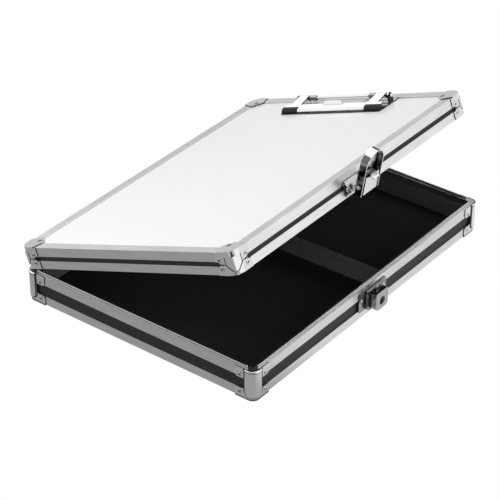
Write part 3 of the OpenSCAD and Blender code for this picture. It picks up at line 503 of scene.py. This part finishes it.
def rivets(name, places, seed, tilt=None):
    """Rivets at places given as (point in mm, direction), on the lid if tilt is given."""
    seeds = bpy.data.meshes.new(name + "_places")
    turned = tilt or Matrix.Identity(4)
    points = [turned @ Vector(p) for p, _ in places]
    seeds.from_pydata([p * mm for p in points], [], [])
    heading = seeds.attributes.new("outward", "FLOAT_VECTOR", "POINT")
    for i, (_, way) in enumerate(places):
        heading.data[i].vector = turned.to_3x3() @ Vector(way)
    piece = grow(name, seeds, rivet_tree, {"Rivet": one_rivet, "Size": 1.0, "Turn seed": seed,
                                           "Finish": rivet_steel})
    return piece


def cap_places(side_spots):
    """The rivets on both faces of the four corners: spots are (distance from corner, height)."""
    found = []
    for sx in (-1, 1):
        for sy in (-1, 1):
            for reach, height in side_spots:
                found.append(((sx * (half_w + cap_t), sy * (half_l - reach), height),
                              (sx, 0, 0)))
                found.append(((sx * (half_w - reach), sy * (half_l + cap_t), height),
                              (0, sy, 0)))
    return found


def leaf_places(height, leaf_t=0.8, length=316.0, knuckle=316.0 / 13, count=6):
    """The rivets along one leaf of the hinge."""
    step = (length - knuckle) / (count - 1)
    return [((-half_w - leaf_t, (knuckle - length) / 2 + k * step, height), (-1, 0, 0))
            for k in range(count)]


def plate_places(heights, plate_t=1.0, reach=18.0):
    """The rivets of a latch plate."""
    return [((half_w + plate_t, side * reach, z), (1, 0, 0)) for z in heights
            for side in (-1, 1)]


foot_cup, top_cup = 12.8, 13.8
foot_spot, rim_spot = (16, 6.45), (16, 25.2)
base_places = cap_places([foot_spot, rim_spot])
base_places += [((sx * (half_w - foot_cup), sy * (half_l - foot_cup), sheet_t), (0, 0, -1))
                for sx in (-1, 1) for sy in (-1, 1)]
leaf_reach, lock_rivet_z, hasp_rivet_z = 5.2, 20.2, 40.1
base_places += leaf_places(hinge_line.z - leaf_reach) + plate_places([lock_rivet_z])
strap_mid, strap_w, strap_in, strap_t, strap_rivet_z = 20.0, 28.5, 130.8, 1.4, 15.5
base_places += [((sx * (strap_in - strap_t), strap_mid + s * strap_w / 4, strap_rivet_z),
                 (-sx, 0, 0))
                for sx in (-1, 1) for s in (-1, 1)]
fixed_rivets = rivets("base_pop_rivets", base_places, 3)
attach(fixed_rivets, "base")
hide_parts("base_rivets", "strap_rivets")

lid_rim_spot, top_spot = (15.8, 39.5), (16, 48.3)
lid_places = cap_places([lid_rim_spot, top_spot])
lid_places += [((sx * (half_w - top_cup), sy * (half_l - top_cup), lid_top - sheet_t + cap_t),
                (0, 0, 1)) for sx in (-1, 1) for sy in (-1, 1)]
lid_places += leaf_places(hinge_line.z + leaf_reach) + plate_places([hasp_rivet_z])
clip_rivet_x, clip_rivet_in, clip_sheet = 35.6, 26, 1.1
lid_places += [((k * clip_rivet_x, half_l - clip_rivet_in, lid_top - sheet_t + clip_sheet),
                (0, 0, 1)) for k in (-1, 0, 1)]
lid_pop_rivets = rivets("lid_pop_rivets", lid_places, 5, to_lid)
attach(lid_pop_rivets, "lid")
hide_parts("lid_rivets", "clip_rivets")

# ---- Linings -------------------------------------------------------------------------------
# Black felt glued to the floor, the walls and the underside of the board.
felt, tree, shader = finish("black_felt", (0.006, 0.006, 0.006), 0, 0.95)
nap = grain(tree, 750, detail=4)
tint(tree, nap, (0.001, 0.001, 0.001), (0.020, 0.020, 0.021), shader, 0.35, 0.75)
relief(tree, nap, 0.0004, 0.8, shader)
shader.inputs["Specular IOR Level"].default_value = 0.2
shader.inputs["Sheen Weight"].default_value = 0.06
shader.inputs["Sheen Roughness"].default_value = 0.5
dress(felt, "floor_lining", "lid_lining")
# The wall lining is coloured much lighter than the floor's felt: painted light for the light the
# walls catch.
wall_felt_painted_light, tree, shader = finish("felt_with_painted_light", (0.03, 0.03, 0.031), 0, 0.8)
nap = grain(tree, 1400, detail=4)
tint(tree, nap, (0.10, 0.10, 0.10), (0.18, 0.18, 0.184), shader)
relief(tree, nap, 0.0004, 0.6, shader)
dress(wall_felt_painted_light, "wall_lining")

# ---- Elastic strap -------------------------------------------------------------------------
# Woven elastic webbing across the tray, ribbed along its length with a tight cross weave. Its
# ends turn down inside the long walls and are riveted there; the middle hangs a little slack.
elastic, tree, shader = finish("woven_elastic", (0.016, 0.016, 0.017), 0, 0.75)
yarn = grain(tree, 1100, (1, 0.25, 1), detail=3)
tint(tree, yarn, (0.006, 0.006, 0.007), (0.070, 0.070, 0.072), shader)
relief(tree, yarn, 0.0002, 0.5, shader)
shader.inputs["Sheen Weight"].default_value = 0.25
shader.inputs["Sheen Roughness"].default_value = 0.4
strap_top, strap_drop, slack = 22.9, 12.4, 1.2
rib_count, per_rib, pick = 16, 4, 1.5
bend = 1.6
line = []
flat = strap_in - bend
steps = round(2 * flat / (pick / 3))
for k in range(11):
    down = strap_drop - bend - (strap_drop - bend) * k / 10
    line.append((-strap_in + strap_t / 2, strap_top - bend - down, -1.0, 0.0))
for k in range(1, 7):
    angle = math.radians(15 * k)
    reach = bend - strap_t / 2
    line.append((-flat - reach * math.cos(angle), strap_top - bend + reach * math.sin(angle),
                 -math.cos(angle), math.sin(angle)))
for k in range(1, steps):
    x = -flat + 2 * flat * k / steps
    sag = slack * (1 - (x / flat) ** 2) ** 2
    line.append((x, strap_top - strap_t / 2 - sag, 0.0, 1.0))
line += [(-x, z, -nx, nz) for x, z, nx, nz in reversed(line[:17])]
web = bmesh.new()
rings = []
around = rib_count * per_rib
for i, (x, z, nx, nz) in enumerate(line):
    weave = 0.07 * math.cos(2 * math.pi * x / pick)
    ring = []
    for face_side in (1, -1):
        for k in range(around + 1):
            w = k / around if face_side > 0 else 1 - k / around
            rib = abs(math.sin(math.pi * rib_count * w))
            edge = min(w, 1 - w) * strap_w
            half_t = (strap_t / 2 - 0.22) * min(1, 0.45 + edge) + 0.22 * rib
            half_t += weave * (1 if (k // (per_rib // 2)) % 2 else -1) * face_side
            ring.append(web.verts.new(((x + face_side * nx * half_t) * mm,
                                       (strap_mid + (w - 0.5) * strap_w) * mm,
                                       (z + face_side * nz * half_t) * mm)))
    rings.append(ring)
for ring, after in zip(rings, rings[1:]):
    for k in range(len(ring)):
        k2 = (k + 1) % len(ring)
        web.faces.new((ring[k], ring[k2], after[k2], after[k]))
web.faces.new(rings[0])
web.faces.new(list(reversed(rings[-1])))
bmesh.ops.recalc_face_normals(web, faces=web.faces)
for face in web.faces:
    face.smooth = len(face.verts) == 4
web_mesh = bpy.data.meshes.new("elastic_webbing")
web.to_mesh(web_mesh)
web.free()
web_mesh.materials.append(elastic)
webbing = bpy.data.objects.new("elastic_webbing", web_mesh)
scene.collection.objects.link(webbing)
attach(webbing, "base")
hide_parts("elastic_strap")

# ---- Hinge ---------------------------------------------------------------------------------
# A piano hinge of thin satin leaves, knuckled round one plated wire and riveted to the backs of
# the box and the lid.
dress(trim_y, "base_leaf", "lid_leaf")
dress(plate, "hinge_pin")

# ---- Lock ----------------------------------------------------------------------------------
# A die-cast head on a pressed plate, both in dark nickel, with the head's face polished. The key
# cylinder is painted dark as painted shade for its recess, and the bolt is milled from bare steel.


def nickel(name, light, dark, gloss):
    """Dark nickel plating, clouded a little."""
    made, tree, shader = finish(name, light, 1, gloss)
    tint(tree, grain(tree, 180, detail=3), dark, light, shader)
    spread(tree, grain(tree, 60, detail=4), gloss - 0.04, gloss + 0.08, shader.inputs["Roughness"])
    # Painted shade where another surface comes near.
    painted_crevice_shade(tree, shader, 0.003, 0.03)
    return made


dark_nickel = nickel("dark_nickel", (0.40, 0.40, 0.405), (0.18, 0.18, 0.184), 0.16)
polished_nickel = nickel("polished_nickel", (0.52, 0.52, 0.525), (0.40, 0.40, 0.405), 0.12)
dress(dark_nickel, "lock_plate", "lock_body")
head = nodes["lock_body"].data
head.materials.append(polished_nickel)
face_depth = 0.8
head_face = max(v.co.x for v in head.vertices) - face_depth * mm
for face in head.polygons:
    if face.center.x > head_face:
        face.material_index = 1
milled, tree, shader = finish("milled_steel", (0.46, 0.46, 0.465), 1, 0.32)
cuts = grain(tree, 700, (1, 1, 0.1), detail=2)
tint(tree, cuts, (0.36, 0.36, 0.365), (0.56, 0.56, 0.565), shader)
relief(tree, cuts, 0.00003, 0.4, shader)
# Painted shade where another surface comes near.
painted_crevice_shade(tree, shader, 0.004, 0.04)
dress(milled, "lock_bolt")
# The key cylinder's face is painted dark: painted shade for its recess.
dress(scale, "lock_cylinder")

# ---- Hasp ----------------------------------------------------------------------------------
# A trough pressed from one plated sheet, folded under its pin and hung between two ears of the
# plate on the lid. A bent strike inside it takes the bolt.
dress(plate, "hasp_plate", "hasp_pin", "hasp")
# The trough's flanges get a darker copy of the plate, streaked dark and bright: painted shade with
# painted reflection.
flange_painted_shade_and_reflection, tree, shader = finish("flange_painted_shade_and_reflection", (0.3, 0.3, 0.3), 1, 0.14)
tint(tree, grain(tree, 110, (0.35, 1, 1), detail=1), (0.012, 0.012, 0.013), (0.55, 0.55, 0.56),
     shader, 0.42, 0.68)
# Painted shade where another surface comes near.
painted_crevice_shade(tree, shader, 0.0035, 0.02)
trough = nodes["hasp"].data
trough.materials.append(flange_painted_shade_and_reflection)
flange_depth = 0.3
side_y = max(v.co.y for v in trough.vertices) - flange_depth * mm
for face in trough.polygons:
    if abs(face.center.y) > side_y:
        face.material_index = 1

# ---- Writing board -------------------------------------------------------------------------
# Hardboard with a gloss white dry-erase face, held under the top trims.
white, tree, shader = finish("dry_erase_white", (0.86, 0.86, 0.855), 0, 0.16)
spread(tree, grain(tree, 9, detail=3), 0.12, 0.2, shader.inputs["Roughness"])
shader.inputs["Coat Weight"].default_value = 0.2
shader.inputs["Coat Roughness"].default_value = 0.08
dress(white, "writing_board")

# ---- Paper clip ----------------------------------------------------------------------------
# A plated steel jaw sprung shut on its own base plate, both hung on one rod, with moulded rubber
# over the ends of the lip.
rubber, tree, shader = finish("moulded_black_rubber", (0.006, 0.006, 0.006), 0, 0.5)
shader.inputs["Specular IOR Level"].default_value = 0.3
skin = grain(tree, 500, detail=3)
tint(tree, skin, (0.003, 0.003, 0.003), (0.010, 0.010, 0.010), shader)
spread(tree, skin, 0.38, 0.6, shader.inputs["Roughness"])
relief(tree, skin, 0.0001, 0.4, shader)
dress(plate, "clip_base", "clip_rod", "clip_jaw")
dress(rubber, "clip_grips")
# The sheared ends of both sheets get the dark finish as painted shade, and the base plate's front
# edge gets it as painted shadow.
lid_across = to_lid.to_3x3() @ Vector((1, 0, 0))
for name in ("clip_base", "clip_jaw"):
    sheet = nodes[name].data
    sheet.materials.append(scale)
    for face in sheet.polygons:
        sheared_end = abs(face.normal @ lid_across) > 0.6
        front_edge = name == "clip_base" and face.normal.y < -0.9
        if sheared_end or front_edge:
            face.material_index = 1

# ---- Clip springs --------------------------------------------------------------------------
# Two torsion springs of bare wire coiled round the rod: a leg stands on the base plate in front
# of the rod, the wire goes up over it and leaves from below towards the jaw.
wire_tree, start, end = new_tree("wire_on_path", [
    ("Wire radius", "NodeSocketFloat"), ("Sides", "NodeSocketInt"),
    ("Finish", "NodeSocketMaterial")])
run = wire_tree.nodes.new("GeometryNodeMeshToCurve")
section = wire_tree.nodes.new("GeometryNodeCurvePrimitiveCircle")
drawn = wire_tree.nodes.new("GeometryNodeCurveToMesh")
drawn.inputs["Fill Caps"].default_value = True
solid = wire_tree.nodes.new("GeometryNodeRealizeInstances")
soft = wire_tree.nodes.new("GeometryNodeSetShadeSmooth")
coat = wire_tree.nodes.new("GeometryNodeSetMaterial")
links = wire_tree.links
links.new(start.outputs["Geometry"], run.inputs["Mesh"])
links.new(start.outputs["Wire radius"], section.inputs["Radius"])
links.new(start.outputs["Sides"], section.inputs["Resolution"])
links.new(run.outputs["Curve"], drawn.inputs["Curve"])
links.new(section.outputs["Curve"], drawn.inputs["Profile Curve"])
links.new(drawn.outputs["Mesh"], solid.inputs["Geometry"])
links.new(solid.outputs["Geometry"], soft.inputs["Geometry"])
links.new(soft.outputs["Geometry"], coat.inputs["Geometry"])
links.new(start.outputs["Finish"], coat.inputs["Material"])
links.new(coat.outputs["Geometry"], end.inputs["Geometry"])

rod_y, rod_z, rod_up = 167.0, 60.6, 6.5
coil_r, coil_pitch, coil_turns, coil_end = 2.5, 1.15, 6.75, 42.5
front_leg = 14.8
spring_points, spring_edges = [], []
for s in (1, -1):
    path = [(0, -coil_r, clip_sheet - rod_up + 0.05), (0, -coil_r, -1.2)]
    steps = round(coil_turns * 24)
    for k in range(steps + 1):
        angle = math.pi - 2 * math.pi * coil_turns * k / steps
        path.append((-coil_pitch * coil_turns * k / steps, coil_r * math.cos(angle),
                     coil_r * math.sin(angle)))
    path += [(path[-1][0], -front_leg * part, -coil_r + 0.07 * front_leg * part)
             for part in (0.1, 0.5, 1.0)]
    first = len(spring_points)
    spring_points += [to_lid @ Vector((s * (coil_end + x), rod_y + y, rod_z + z)) * mm
                      for x, y, z in path]
    spring_edges += [(first + k, first + k + 1) for k in range(len(path) - 1)]
path_mesh = bpy.data.meshes.new("spring_paths")
path_mesh.from_pydata(spring_points, spring_edges, [])
spring_wire, tree, shader = finish("spring_wire", (0.66, 0.665, 0.67), 1, 0.22)
spread(tree, grain(tree, 400, detail=2), 0.15, 0.32, shader.inputs["Roughness"])
# Painted shade where another surface comes near.
painted_crevice_shade(tree, shader, 0.001, 0.1)
springs = grow("clip_coil_springs", path_mesh, wire_tree,
               {"Wire radius": 0.5 * mm, "Sides": 12, "Finish": spring_wire})
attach(springs, "lid")
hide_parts("clip_springs")
